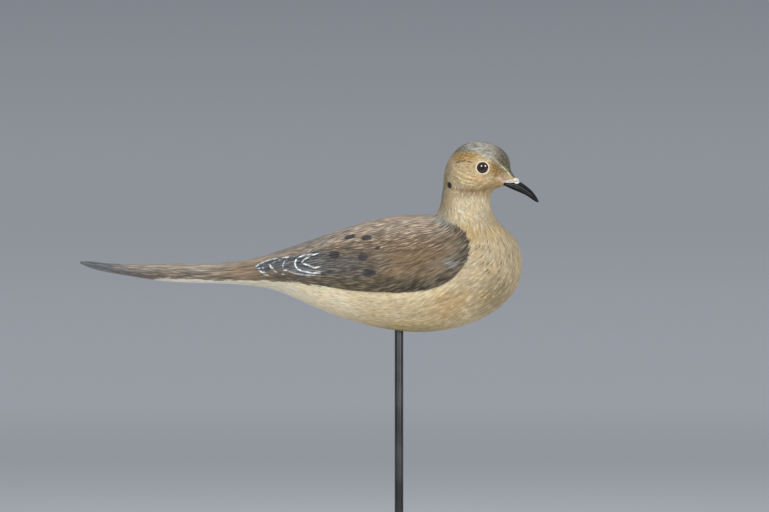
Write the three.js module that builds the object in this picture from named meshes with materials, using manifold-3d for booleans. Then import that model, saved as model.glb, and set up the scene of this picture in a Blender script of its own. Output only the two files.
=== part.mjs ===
// A carved and painted dove decoy, its head turned a little to one side, on an upright rod with a round foot.
// Millimetres, +Z up. The bird faces +X, and the origin is on the rod's axis, at the underside of the foot.
import * as THREE from 'three';
import { mergeVertices } from 'three/addons/utils/BufferGeometryUtils.js';
import Module from 'manifold-3d';

const wasm = await Module();
wasm.setup();

// Driving dimensions, in millimetres and degrees
const birdLength = 320; // tail tip to bill tip
const headTurn = 20; // towards the bird's right side
const bellyHeight = 155; // the lowest point of the belly above the table
const rodDiameter = 6;
const rodInBird = 24; // how far the rod goes up into the belly
const footDiameter = 110;
const footThickness = 10;
const footFloor = 3; // the steel left under the rod
const footChamfer = 1.5;
const eyeDiameter = 8;
const eyeBulge = 1.7; // height of the eye's dome over its rim
const eyeSeat = 3; // depth of the eye's straight side, let into the head
const fitGap = 0.3; // clearance round everything that is let in

// Fineness of the faceted skins
const carvingRingSpacing = 5.4;
const carvingSides = 38;
const billRingSpacing = 2.2;
const billSides = 18;
const eyeSides = 28;
const rodSides = 32;
const footSides = 64;

// The carving is drawn on a grid of its own: x from the rod's axis towards the bill, z up from the belly's
// lowest point. Its cross-sections follow, from the tail tip, along the body, up the neck and over the head
// to the tongue of the cere. Each one runs from a point on the back line to a point on the belly line.
// halfWidth is its half breadth, and widest is how far up it is broadest, 0 at the belly and 1 at the back.
const bodySections = [
  { back: [-319, 70.4], belly: [-319, 68.8], halfWidth: 1.5, widest: 0.5 },
  { back: [-313, 70.8], belly: [-313, 65.8], halfWidth: 5.5, widest: 0.5 },
  { back: [-300, 69.8], belly: [-300, 61.5], halfWidth: 9.8, widest: 0.5 },
  { back: [-275, 68], belly: [-275, 56.8], halfWidth: 14, widest: 0.45 },
  { back: [-240, 68.2], belly: [-240, 51.4], halfWidth: 16.8, widest: 0.42 },
  { back: [-168, 70.4], belly: [-168, 48], halfWidth: 20.6, widest: 0.42 },
  { back: [-142, 74.6], belly: [-142, 45.6], halfWidth: 25.2, widest: 0.45 },
  { back: [-120, 81.4], belly: [-120, 40.4], halfWidth: 32, widest: 0.5 },
  { back: [-98, 88.8], belly: [-98, 31.2], halfWidth: 38.5, widest: 0.53 },
  { back: [-52, 104.6], belly: [-52, 12.5], halfWidth: 49.5, widest: 0.56 },
  { back: [0, 116.8], belly: [0, 1.1], halfWidth: 55.5, widest: 0.56 },
  { back: [21, 117.6], belly: [27, 0], halfWidth: 56, widest: 0.55 },
  { back: [31, 117.8], belly: [60, 4.9], halfWidth: 55, widest: 0.53 },
  { back: [35, 118.6], belly: [88, 15.9], halfWidth: 52.5, widest: 0.5 },
  { back: [37, 120.2], belly: [111.4, 35.2], halfWidth: 48.5, widest: 0.46 },
  { back: [39.4, 122.6], belly: [122.2, 57], halfWidth: 43, widest: 0.43 },
];
const neckSections = [
  { back: [41.5, 128.6], belly: [114.6, 96], halfWidth: 30, widest: 0.44 },
  { back: [42.1, 132.2], belly: [102.1, 108], halfWidth: 24.5, widest: 0.47 },
  { back: [42.5, 136], belly: [94.4, 119], halfWidth: 21, widest: 0.5 },
  { back: [43.8, 147.5], belly: [93, 138], halfWidth: 19.4, widest: 0.5 },
  { back: [46.2, 164.5], belly: [99.6, 143.4], halfWidth: 22.8, widest: 0.5 },
];
const headSections = [
  { back: [69.5, 189.6], belly: [104.6, 144.5], halfWidth: 22.2, widest: 0.54 },
  { back: [103, 183.6], belly: [106.4, 145.2], halfWidth: 17.4, widest: 0.54 },
  { back: [110.3, 175.6], belly: [107, 145.7], halfWidth: 13.8, widest: 0.52 },
  { back: [112.3, 167], belly: [107.7, 146.8], halfWidth: 10.4, widest: 0.52 },
  { back: [114.8, 160.2], belly: [109.5, 148.9], halfWidth: 7.8, widest: 0.52 },
  { back: [120.6, 154.1], belly: [119, 149.7], halfWidth: 5, widest: 0.52 },
  { back: [122.5, 152.6], belly: [121.8, 150.1], halfWidth: 3, widest: 0.52 },
  { back: [122.9, 151.7], belly: [122.7, 150.9], halfWidth: 1, widest: 0.52 },
];
const birdSections = [...bodySections, ...neckSections, ...headSections];

// The bill, from its root inside the head to its tip, in the same grid
const billSections = [
  { back: [102.5, 153.4], belly: [102.6, 148.4], halfWidth: 4, widest: 0.45 },
  { back: [111, 152.6], belly: [110.3, 144.9], halfWidth: 4.5, widest: 0.45 },
  { back: [117.4, 151.8], belly: [115.4, 142.6], halfWidth: 4.3, widest: 0.45 },
  { back: [124.2, 149.8], belly: [121.4, 140.2], halfWidth: 4, widest: 0.45 },
  { back: [130.6, 145.8], belly: [127.4, 137.8], halfWidth: 3.5, widest: 0.45 },
  { back: [137, 140.3], belly: [133.6, 134.4], halfWidth: 2.9, widest: 0.45 },
  { back: [141.9, 133.9], belly: [139.6, 130.6], halfWidth: 2.1, widest: 0.45 },
  { back: [143.8, 130.6], belly: [142.6, 129.2], halfWidth: 1.1, widest: 0.45 },
];

// The neck twists about an upright line, from nothing at its first section to the whole turn at its last
const neckTwist = {
  axisX: 67,
  root: bodySections.length,
  top: bodySections.length + neckSections.length - 1,
};

// An eye's centre on the head before it is turned, as x, distance to the side and z in the grid, and how far
// the eye looks forward, in degrees
const eyeCentre = [91.6, 20.6, 163.9];
const eyeForward = 11;

// One grid unit in millimetres, from the bird's length between the tail tip and the turned bill's tip
const headTurnAngle = THREE.MathUtils.degToRad(headTurn);
const billTipX = neckTwist.axisX + (billSections.at(-1).back[0] - neckTwist.axisX) * Math.cos(headTurnAngle);
const unit = birdLength / (billTipX - bodySections[0].back[0]);

// A natural cubic spline through one value at each knot, solved for its second derivatives
function naturalSpline(knots, values) {
  const last = knots.length - 1;
  const step = knots.slice(1).map((knot, i) => knot - knots[i]);
  const bend = new Array(last + 1).fill(0);
  const pivot = new Array(last + 1).fill(1);
  const carried = new Array(last + 1).fill(0);
  for (let i = 1; i < last; i++) {
    const slopeChange = (values[i + 1] - values[i]) / step[i] - (values[i] - values[i - 1]) / step[i - 1];
    const ratio = i > 1 ? step[i - 1] / pivot[i - 1] : 0;
    pivot[i] = 2 * (step[i - 1] + step[i]) - ratio * (i > 1 ? step[i - 1] : 0);
    carried[i] = 6 * slopeChange - ratio * carried[i - 1];
  }
  for (let i = last - 1; i > 0; i--) {
    bend[i] = (carried[i] - step[i] * bend[i + 1]) / pivot[i];
  }
  return (at) => {
    let i = 0;
    while (i < last - 1 && at > knots[i + 1]) {
      i++;
    }
    const a = (knots[i + 1] - at) / step[i];
    const b = (at - knots[i]) / step[i];
    const curved = (a ** 3 - a) * bend[i] + (b ** 3 - b) * bend[i + 1];
    return a * values[i] + b * values[i + 1] + (curved * step[i] ** 2) / 6;
  };
}

// Distances from each cross-section to the next, along the back line and the belly line
function stepsBetween(sections) {
  const apart = (a, b) => Math.hypot(b[0] - a[0], b[1] - a[1]);
  return sections.slice(1).map((to, i) => ({
    back: apart(sections[i].back, to.back),
    belly: apart(sections[i].belly, to.belly),
  }));
}

// A place in the bird's grid, in millimetres over the table, with a share of the head's turn applied
function placed(point, share) {
  const angle = -headTurnAngle * share;
  const x = point.x - neckTwist.axisX;
  return new THREE.Vector3(
    (neckTwist.axisX + x * Math.cos(angle) - point.y * Math.sin(angle)) * unit,
    (x * Math.sin(angle) + point.y * Math.cos(angle)) * unit,
    point.z * unit + bellyHeight,
  );
}

// Rings of points on the smooth skin through the cross-sections, at most about the given spacing apart.
// turnShare says how much of the head's turn a ring has, from the distances along the skin of the ring and of
// the cross-sections.
function loftRings(sections, spacing, sides, turnShare) {
  const gaps = stepsBetween(sections);
  const knots = [0];
  for (const { back, belly } of gaps) {
    knots.push(knots[knots.length - 1] + (back + belly) / 2);
  }
  const along = (pick) => naturalSpline(knots, sections.map(pick));
  const backX = along((s) => s.back[0]);
  const backZ = along((s) => s.back[1]);
  const bellyX = along((s) => s.belly[0]);
  const bellyZ = along((s) => s.belly[1]);
  const halfWidth = along((s) => s.halfWidth);
  const widest = along((s) => s.widest);

  const stops = [];
  gaps.forEach(({ back, belly }, i) => {
    const steps = Math.max(1, Math.round((Math.max(back, belly) * unit) / spacing));
    for (let k = 0; k < steps; k++) {
      stops.push(THREE.MathUtils.lerp(knots[i], knots[i + 1], k / steps));
    }
  });
  stops.push(knots[knots.length - 1]);

  return stops.map((at) => {
    const ring = [];
    for (let j = 0; j < sides; j++) {
      const angle = (2 * Math.PI * j) / sides;
      const up = Math.cos(angle);
      const level = widest(at) + up * (up >= 0 ? 1 - widest(at) : widest(at));
      const point = new THREE.Vector3(
        THREE.MathUtils.lerp(bellyX(at), backX(at), level),
        halfWidth(at) * Math.sin(angle),
        THREE.MathUtils.lerp(bellyZ(at), backZ(at), level),
      );
      ring.push(placed(point, turnShare(at, knots)));
    }
    return ring;
  });
}

const birdTurnShare = (at, knots) => (
  THREE.MathUtils.smoothstep(at, knots[neckTwist.root], knots[neckTwist.top])
);
const wholeTurn = () => 1;

// A closed skin over the rings, with a fan of triangles over each end
function skinOver(rings) {
  const sides = rings[0].length;
  const middle = (ring) => ring.reduce((sum, p) => sum.add(p), new THREE.Vector3()).divideScalar(sides);
  const points = [...rings.flat(), middle(rings[0]), middle(rings[rings.length - 1])];
  const firstEnd = rings.length * sides;
  const lastEnd = firstEnd + 1;
  const index = [];
  for (let j = 0; j < sides; j++) {
    const next = (j + 1) % sides;
    index.push(firstEnd, j, next);
    for (let i = 0; i < rings.length - 1; i++) {
      const here = i * sides;
      const ahead = here + sides;
      index.push(here + j, ahead + j, here + next, here + next, ahead + j, ahead + next);
    }
    index.push(lastEnd, (rings.length - 1) * sides + next, (rings.length - 1) * sides + j);
  }
  const geometry = new THREE.BufferGeometry().setFromPoints(points);
  geometry.setIndex(index);
  return geometry;
}

// The same cross-sections with a clearance all round, and the first one moved back by it
function grown(sections, clearance) {
  return sections.map((section, i) => {
    const rise = new THREE.Vector2(...section.back);
    rise.sub(new THREE.Vector2(...section.belly)).setLength(clearance);
    const shift = i === 0 ? clearance : 0;
    return {
      back: [section.back[0] + rise.x - shift, section.back[1] + rise.y],
      belly: [section.belly[0] - rise.x - shift, section.belly[1] - rise.y],
      halfWidth: section.halfWidth + clearance,
      widest: section.widest,
    };
  });
}

function solidOf(geometry) {
  const bare = geometry.clone();
  const spare = Object.keys(bare.attributes).filter((name) => name !== 'position');
  for (const name of spare) {
    bare.deleteAttribute(name);
  }
  const merged = mergeVertices(bare);
  return new wasm.Manifold(new wasm.Mesh({
    numProp: 3,
    vertProperties: new Float32Array(merged.attributes.position.array),
    triVerts: new Uint32Array(merged.index.array),
  }));
}

function geometryOf(solid) {
  const { vertProperties, triVerts } = solid.getMesh();
  const geometry = new THREE.BufferGeometry();
  geometry.setAttribute('position', new THREE.BufferAttribute(new Float32Array(vertProperties), 3));
  geometry.setIndex(new THREE.BufferAttribute(new Uint32Array(triVerts), 1));
  geometry.computeVertexNormals();
  return geometry;
}

// A body turned about the upright axis, from its profile of [radius, height] points
function turned(profile, sides) {
  const geometry = new THREE.LatheGeometry(profile.map(([r, h]) => new THREE.Vector2(r, h)), sides);
  return geometry.rotateX(Math.PI / 2);
}

function uprightCylinder(diameter, bottom, top, sides) {
  return turned([[0, bottom], [diameter / 2, bottom], [diameter / 2, top], [0, top]], sides);
}

// A glass eye about its own axis: a straight side up to the rim at height 0, and part of a sphere over it
function eyeGeometry() {
  const radius = eyeDiameter / 2;
  const sphere = (radius ** 2 + eyeBulge ** 2) / (2 * eyeBulge);
  const spread = Math.asin(Math.min(1, radius / sphere));
  const domeSteps = 5;
  const profile = [[0, -eyeSeat], [radius, -eyeSeat]];
  for (let k = domeSteps; k > 0; k--) {
    const angle = (spread * k) / domeSteps;
    profile.push([sphere * Math.sin(angle), eyeBulge - sphere * (1 - Math.cos(angle))]);
  }
  profile.push([0, eyeBulge]);
  return turned(profile, eyeSides);
}

// Where an eye sits: side is -1 on the bird's right and 1 on its left
function eyePlacement(side) {
  const [x, aside, z] = eyeCentre;
  const centre = placed(new THREE.Vector3(x, side * aside, z), 1);
  const heading = THREE.MathUtils.degToRad(side * (90 - eyeForward) - headTurn);
  const outward = new THREE.Vector3(Math.cos(heading), Math.sin(heading), 0);
  return { centre, turn: new THREE.Quaternion().setFromUnitVectors(new THREE.Vector3(0, 0, 1), outward) };
}

function eyeSocket(side) {
  const { centre, turn } = eyePlacement(side);
  const mouth = eyeDiameter; // well clear of the skin outside the eye
  const socket = uprightCylinder(eyeDiameter + 2 * fitGap, -eyeSeat - fitGap, mouth, eyeSides);
  return socket.applyQuaternion(turn).translate(centre.x, centre.y, centre.z);
}

// The one carving: tail, body, neck and head, with the rod's hole and the sockets of the bill and the eyes
function birdCarvingGeometry() {
  const skin = skinOver(loftRings(birdSections, carvingRingSpacing, carvingSides, birdTurnShare));
  const roomForBill = grown(billSections, fitGap / unit);
  const billSocket = skinOver(loftRings(roomForBill, billRingSpacing, billSides, wholeTurn));
  const rodHoleTop = bellyHeight + rodInBird + fitGap;
  const rodHole = uprightCylinder(rodDiameter + 2 * fitGap, bellyHeight - rodInBird, rodHoleTop, rodSides);
  const cuts = [billSocket, rodHole, eyeSocket(-1), eyeSocket(1)];
  return geometryOf(cuts.reduce((solid, cut) => solid.subtract(solidOf(cut)), solidOf(skin)));
}

function billGeometry() {
  return skinOver(loftRings(billSections, billRingSpacing, billSides, wholeTurn));
}

function rodGeometry() {
  return uprightCylinder(rodDiameter, footFloor + fitGap, bellyHeight + rodInBird, rodSides);
}

// A round steel plate with a chamfered upper edge and a blind hole for the rod
function footGeometry() {
  const radius = footDiameter / 2;
  const holeRadius = rodDiameter / 2 + fitGap;
  return turned([
    [0, 0],
    [radius, 0],
    [radius, footThickness - footChamfer],
    [radius - footChamfer, footThickness],
    [holeRadius, footThickness],
    [holeRadius, footFloor],
    [0, footFloor],
  ], footSides);
}

const paintedWood = new THREE.MeshStandardMaterial({ color: 0xa08e72, roughness: 0.7, metalness: 0 });
const blackBill = new THREE.MeshStandardMaterial({ color: 0x26272a, roughness: 0.35, metalness: 0 });
const darkGlass = new THREE.MeshStandardMaterial({ color: 0x17100c, roughness: 0.05, metalness: 0 });
const blackenedSteel = new THREE.MeshStandardMaterial({ color: 0x43464a, roughness: 0.4, metalness: 0.8 });

const decoy = new THREE.Group();

function add(name, geometry, material) {
  const mesh = new THREE.Mesh(geometry, material);
  mesh.name = name;
  decoy.add(mesh);
  return mesh;
}

add('bird_carving', birdCarvingGeometry(), paintedWood);
add('bill', billGeometry(), blackBill);
for (const [name, side] of [['eye_right', -1], ['eye_left', 1]]) {
  const { centre, turn } = eyePlacement(side);
  const eye = add(name, eyeGeometry(), darkGlass);
  eye.position.copy(centre);
  eye.quaternion.copy(turn);
}
add('stand_rod', rodGeometry(), blackenedSteel);
add('stand_foot', footGeometry(), blackenedSteel);

export default decoy;
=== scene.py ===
"""The looks of a carved and painted dove decoy on a steel rod with a round foot.

Metres, +Z up. The bird faces +X, and the origin is on the rod's axis at the underside of the foot.
The carving is drawn on the same grid as its solid: x from the rod's axis towards the bill, z up from the
belly's lowest point, one grid unit to a pixel of the photograph.
"""
import math
from functools import reduce

import bpy
import numpy as np
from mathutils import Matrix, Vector
from mathutils.bvhtree import BVHTree


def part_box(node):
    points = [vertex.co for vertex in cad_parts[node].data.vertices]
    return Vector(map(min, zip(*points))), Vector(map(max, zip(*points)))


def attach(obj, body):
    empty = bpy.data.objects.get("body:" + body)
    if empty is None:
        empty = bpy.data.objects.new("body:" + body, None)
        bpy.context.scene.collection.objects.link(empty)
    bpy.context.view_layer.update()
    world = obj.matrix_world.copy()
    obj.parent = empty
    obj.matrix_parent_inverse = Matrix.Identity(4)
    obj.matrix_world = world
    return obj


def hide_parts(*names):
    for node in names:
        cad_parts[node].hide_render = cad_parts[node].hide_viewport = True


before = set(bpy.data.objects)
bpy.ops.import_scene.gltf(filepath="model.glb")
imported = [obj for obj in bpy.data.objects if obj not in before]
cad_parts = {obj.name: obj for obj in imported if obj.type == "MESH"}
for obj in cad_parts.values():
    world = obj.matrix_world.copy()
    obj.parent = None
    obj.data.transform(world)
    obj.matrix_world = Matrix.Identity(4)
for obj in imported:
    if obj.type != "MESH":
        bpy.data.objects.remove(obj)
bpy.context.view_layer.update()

# Driving dimensions, as in the solids
MM = 0.001
BELLY_HEIGHT = 155 * MM
HEAD_TURN = math.radians(20)
NECK_AXIS_X = 67
EYE_PLACE = (91.6, 20.6, 163.9)
EYE_FORWARD = math.radians(11)
EYE_RADIUS = 4 * MM
EYE_BULGE = 1.7 * MM
EYE_SEAT = 3 * MM

# Cross-sections in grid units: a point on the back line, a point on the belly line, the half breadth, and
# how far up it is broadest
BODY_SECTIONS = [
    ((-319, 70.4), (-319, 68.8), 1.5, 0.5),
    ((-313, 70.8), (-313, 65.8), 5.5, 0.5),
    ((-300, 69.8), (-300, 61.5), 9.8, 0.5),
    ((-275, 68), (-275, 56.8), 14, 0.45),
    ((-240, 68.2), (-240, 51.4), 16.8, 0.42),
    ((-168, 70.4), (-168, 48), 20.6, 0.42),
    ((-142, 74.6), (-142, 45.6), 25.2, 0.45),
    ((-120, 81.4), (-120, 40.4), 32, 0.5),
    ((-98, 88.8), (-98, 31.2), 38.5, 0.53),
    ((-52, 104.6), (-52, 12.5), 49.5, 0.56),
    ((0, 116.8), (0, 1.1), 55.5, 0.56),
    ((21, 117.6), (27, 0), 56, 0.55),
    ((31, 117.8), (60, 4.9), 55, 0.53),
    ((35, 118.6), (88, 15.9), 52.5, 0.5),
    ((37, 120.2), (111.4, 35.2), 48.5, 0.46),
    ((39.4, 122.6), (122.2, 57), 43, 0.43),
]
NECK_SECTIONS = [
    ((41.5, 128.6), (114.6, 96), 30, 0.44),
    ((42.1, 132.2), (102.1, 108), 24.5, 0.47),
    ((42.5, 136), (94.4, 119), 21, 0.5),
    ((43.8, 147.5), (93, 138), 19.4, 0.5),
    ((46.2, 164.5), (99.6, 143.4), 22.8, 0.5),
]
HEAD_SECTIONS = [
    ((69.5, 189.6), (104.6, 144.5), 22.2, 0.54),
    ((103, 183.6), (106.4, 145.2), 17.4, 0.54),
    ((110.3, 175.6), (107, 145.7), 13.8, 0.52),
    ((112.3, 167), (107.7, 146.8), 10.4, 0.52),
    ((114.8, 160.2), (109.5, 148.9), 7.8, 0.52),
    ((120.6, 154.1), (119, 149.7), 5, 0.52),
    ((122.5, 152.6), (121.8, 150.1), 3, 0.52),
    ((122.9, 151.7), (122.7, 150.9), 1, 0.52),
]
BILL_SECTIONS = [
    ((102.5, 153.4), (102.6, 148.4), 4, 0.45),
    ((111, 152.6), (110.3, 144.9), 4.5, 0.45),
    ((117.4, 151.8), (115.4, 142.6), 4.3, 0.45),
    ((124.2, 149.8), (121.4, 140.2), 4, 0.45),
    ((130.6, 145.8), (127.4, 137.8), 3.5, 0.45),
    ((137, 140.3), (133.6, 134.4), 2.9, 0.45),
    ((141.9, 133.9), (139.6, 130.6), 2.1, 0.45),
    ((143.8, 130.6), (142.6, 129.2), 1.1, 0.45),
]
NECK_ROOT = len(BODY_SECTIONS)
NECK_TOP = NECK_ROOT + len(NECK_SECTIONS) - 1

# One grid unit, from the bird's length between the tail tip and the turned bill's tip
BIRD_LENGTH = 320 * MM
BILL_TIP_X = NECK_AXIS_X + (BILL_SECTIONS[-1][0][0] - NECK_AXIS_X) * math.cos(HEAD_TURN)
UNIT = BIRD_LENGTH / (BILL_TIP_X - BODY_SECTIONS[0][0][0])

# Fineness of the skins, in metres and in points round a ring
BODY_SPACING = 1.5 * MM
NECK_SPACING = 0.9 * MM
HEAD_SPACING = 0.5 * MM
BIRD_SIDES = 204
BILL_SPACING = 0.35 * MM
BILL_SIDES = 64

# Outlines in the side view, in grid units. The brown of wing, back and tail, from the nape round the
# front of the wing and along its lower edge to the tail and over the back:
BROWN_OUTLINE = [
    (36, 124), (49, 110), (61, 104), (69, 93), (70, 80), (65, 67), (52, 53), (34, 44), (8, 40), (-30, 40),
    (-70, 44.3), (-105, 49.4), (-138, 51.5), (-168, 51.2), (-190, 51.6), (-238, 53.4), (-258, 48),
    (-330, 48), (-330, 150), (-100, 170), (20, 150),
]
# The grey cap of crown and forehead
CAP_OUTLINE = [
    (49, 176), (60, 179), (76, 178.3), (87, 173.8), (94, 169), (102, 162.5), (112, 154.5), (126, 160),
    (122, 196), (84, 204), (50, 196),
]
# The slate patch at the wing's tip
PATCH_OUTLINE = [
    (-144, 64.6), (-134, 70.6), (-121, 74), (-101, 77.2), (-86, 81), (-68, 83.5), (-50, 84), (-42, 68),
    (-50, 57), (-80, 56.5), (-95, 57.3), (-110, 61.5), (-124, 62), (-134, 59.5), (-141, 62),
]
# Lines on the head
EYE_CREASE = [(56.5, 169), (61, 170.7), (67, 170.8), (73, 169.2)]
JAW_CREASE = [(48, 146.5), (55, 143), (65, 140.6), (80, 140.2), (92, 143.8)]
CERE_GROOVE = [(105.5, 153), (112, 155.2), (117, 156.4)]
GAPE_FOLD = [(99.4, 153.8), (102, 151.6), (105, 148.6)]

# Low relief in millimetres, negative where it is cut in. Lines on the head: line, height, and width in
# grid units
CARVED_LINES = [
    (JAW_CREASE, -0.45, 3.2),
    (EYE_CREASE, -0.22, 1.1),
    ([(x + 1, z - 2.2) for x, z in EYE_CREASE], 0.16, 1.2),
    (CERE_GROOVE, -0.14, 0.9),
    (GAPE_FOLD, 0.16, 1.1),
]
# Round forms on it: middle, radii, how many radii out the form lies, its height, and its width in radii
CARVED_ROUNDS = [
    ((72, 151), (13, 8), 0, 0.45, 1),  # swell of the cheek
    ((83.5, 163.6), (1, 1), 9.5, -0.35, 2.6),  # hollow round the eye
]
# The hand-worked skin's least depth inside its solid, and how much deeper its waves go
SKIN_INSET = 0.035
WAVE_DEPTH = 0.06
# How deep the bill's skin lies in its solid, and the line between its halves and the groove on the upper one
BILL_INSET = 0.02
BILL_LINE = 0.22
BILL_GROOVE = 0.08


def natural_spline(knots, values):
    """The smooth curve through one value at each knot, with straight ends."""
    step = np.diff(knots)
    last = len(knots) - 1
    system = np.eye(last + 1)
    change = np.zeros(last + 1)
    for i in range(1, last):
        system[i, i - 1 : i + 2] = step[i - 1], 2 * (step[i - 1] + step[i]), step[i]
        change[i] = 6 * ((values[i + 1] - values[i]) / step[i] - (values[i] - values[i - 1]) / step[i - 1])
    bend = np.linalg.solve(system, change)

    def curve(at):
        i = np.clip(np.searchsorted(knots, at) - 1, 0, last - 1)
        a = (knots[i + 1] - at) / step[i]
        b = (at - knots[i]) / step[i]
        curved = (a**3 - a) * bend[i] + (b**3 - b) * bend[i + 1]
        return a * values[i] + b * values[i + 1] + curved * step[i] ** 2 / 6

    return curve


def smoothstep(at, low, high):
    share = np.clip((at - low) / (high - low), 0, 1)
    return share * share * (3 - 2 * share)


def loft(sections, spacings, sides):
    """Rings of points on the smooth skin through the cross-sections, in grid units.

    Returns the points as an array of rings by sides by 3, where each ring is along the skin, where the
    cross-sections are, and the angle of each point of a ring, 0 at the back and pi at the belly.
    """
    back = np.array([s[0] for s in sections], float)
    belly = np.array([s[1] for s in sections], float)
    back_gaps = np.linalg.norm(np.diff(back, axis=0), axis=1)
    belly_gaps = np.linalg.norm(np.diff(belly, axis=0), axis=1)
    knots = np.concatenate([[0], np.cumsum((back_gaps + belly_gaps) / 2)])
    stops = []
    for i, spacing in enumerate(spacings):
        steps = max(1, round(max(back_gaps[i], belly_gaps[i]) * UNIT / spacing))
        stops.extend(np.linspace(knots[i], knots[i + 1], steps, endpoint=False))
    at = np.array(stops + [knots[-1]])

    def along(values):
        return natural_spline(knots, np.asarray(values, float))(at)[:, None]

    angle = np.arange(sides) * 2 * np.pi / sides
    up = np.cos(angle)[None, :]
    widest = along([s[3] for s in sections])
    level = widest + up * np.where(up >= 0, 1 - widest, widest)
    back_x, back_z = along(back[:, 0]), along(back[:, 1])
    belly_x, belly_z = along(belly[:, 0]), along(belly[:, 1])
    x = belly_x + (back_x - belly_x) * level
    z = belly_z + (back_z - belly_z) * level
    y = along([s[2] for s in sections]) * np.sin(angle)[None, :]
    return np.stack([x, y, z], axis=2), at, knots, angle


def outward(points):
    """Unit normals of a skin given as rings of points."""
    ahead = np.gradient(points, axis=0)
    around = np.roll(points, -1, axis=1) - np.roll(points, 1, axis=1)
    normal = np.cross(ahead, around)
    return normal / np.maximum(np.linalg.norm(normal, axis=2, keepdims=True), 1e-9)


def placed(points, share):
    """Grid points in metres over the table, with a share of the head's turn applied."""
    turn = -HEAD_TURN * share
    x = points[..., 0] - NECK_AXIS_X
    y = points[..., 1]
    turned_x = NECK_AXIS_X + x * np.cos(turn) - y * np.sin(turn)
    turned_y = x * np.sin(turn) + y * np.cos(turn)
    return np.stack([turned_x * UNIT, turned_y * UNIT, points[..., 2] * UNIT + BELLY_HEIGHT], axis=-1)


def side_view(points, share):
    """Where each point, or its twin on the right side, shows in the side view, with its breadth as y."""
    turn = HEAD_TURN * share
    breadth = np.abs(points[..., 1])
    x = NECK_AXIS_X + (points[..., 0] - NECK_AXIS_X) * np.cos(turn) - breadth * np.sin(turn)
    return np.stack([x, breadth, points[..., 2]], axis=-1)


def line_distance(view, line):
    """Distance from each place in the side view to an open line of points, in grid units."""
    x, z = view[..., 0], view[..., 2]
    nearest = np.full(x.shape, np.inf)
    for (x0, z0), (x1, z1) in zip(line, line[1:]):
        dx, dz = x1 - x0, z1 - z0
        along = np.clip(((x - x0) * dx + (z - z0) * dz) / (dx * dx + dz * dz), 0, 1)
        nearest = np.minimum(nearest, np.hypot(x - x0 - along * dx, z - z0 - along * dz))
    return nearest


def rounded(outline, pieces=8):
    """A closed smooth line through the outline's points."""
    points = np.array(outline, float)
    before, after, beyond = np.roll(points, 1, 0), np.roll(points, -1, 0), np.roll(points, -2, 0)
    line = []
    for start, end, slope_in, slope_out in zip(points, after, (after - before) / 2, (beyond - points) / 2):
        for t in np.arange(pieces) / pieces:
            line.append(
                (2 * t**3 - 3 * t**2 + 1) * start + (t**3 - 2 * t**2 + t) * slope_in
                + (3 * t**2 - 2 * t**3) * end + (t**3 - t**2) * slope_out
            )
    return line


def depth_inside(view, outline):
    """How far each place in the side view is inside a closed outline, negative outside."""
    line = rounded(outline)
    closed = line + line[:1]
    x, z = view[..., 0], view[..., 2]
    inside = np.zeros(x.shape, bool)
    for (x0, z0), (x1, z1) in zip(closed, closed[1:]):
        crosses = (z0 > z) != (z1 > z)
        with np.errstate(divide="ignore", invalid="ignore"):
            inside ^= crosses & (x < (x1 - x0) * (z - z0) / (z1 - z0) + x0)
    return np.where(inside, 1, -1) * line_distance(view, closed)


def hollow(distance, width):
    """1 on a line and 0 past its width, with a soft shoulder."""
    return np.exp(-((distance / width) ** 2))


def blot_distance(view, centre, radii):
    return np.hypot((view[..., 0] - centre[0]) / radii[0], (view[..., 2] - centre[1]) / radii[1])


def hand_relief(points, view):
    """The knife's and sandpaper's work on the skin, in millimetres outward."""
    x, y, z = points[..., 0], points[..., 1], points[..., 2]
    waves = np.sin(x / 13 + 1.7 * np.sin(z / 17)) * np.sin(y / 11 + 0.8) + np.sin(z / 9 - x / 23)
    relief = -SKIN_INSET - WAVE_DEPTH * (2 + waves) / 4
    for line, height, width in CARVED_LINES:
        relief += height * hollow(line_distance(view, line), width)
    for centre, radii, out, height, width in CARVED_ROUNDS:
        relief += height * hollow(blot_distance(view, centre, radii) - out, width)
    return relief


class Shell:
    """One closed skin of a piece: its points, faces, material number and what its paint reads."""

    def __init__(self, points, faces, material=0, **attributes):
        self.points = np.asarray(points, float).reshape(-1, 3)
        self.faces = faces
        self.material = material
        self.attributes = attributes


def ring_faces(rings, sides, capped=True):
    """Faces of a tube of rings. Where fans cap it, their middles are the last two points."""
    faces = []
    for i in range(rings - 1):
        here, ahead = i * sides, (i + 1) * sides
        for j in range(sides):
            after = (j + 1) % sides
            faces.append((here + j, ahead + j, ahead + after, here + after))
    if capped:
        first, last = rings * sides, rings * sides + 1
        for j in range(sides):
            after = (j + 1) % sides
            faces.append((first, j, after))
            faces.append((last, (rings - 1) * sides + after, (rings - 1) * sides + j))
    return faces


def with_middles(rings):
    """Ring values as one list of rows, with the first and last rings' means added."""
    rings = rings.reshape(*rings.shape[:2], -1)
    rows = rings.reshape(-1, rings.shape[2])
    return np.concatenate([rows, [rings[0].mean(axis=0)], [rings[-1].mean(axis=0)]])


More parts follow.
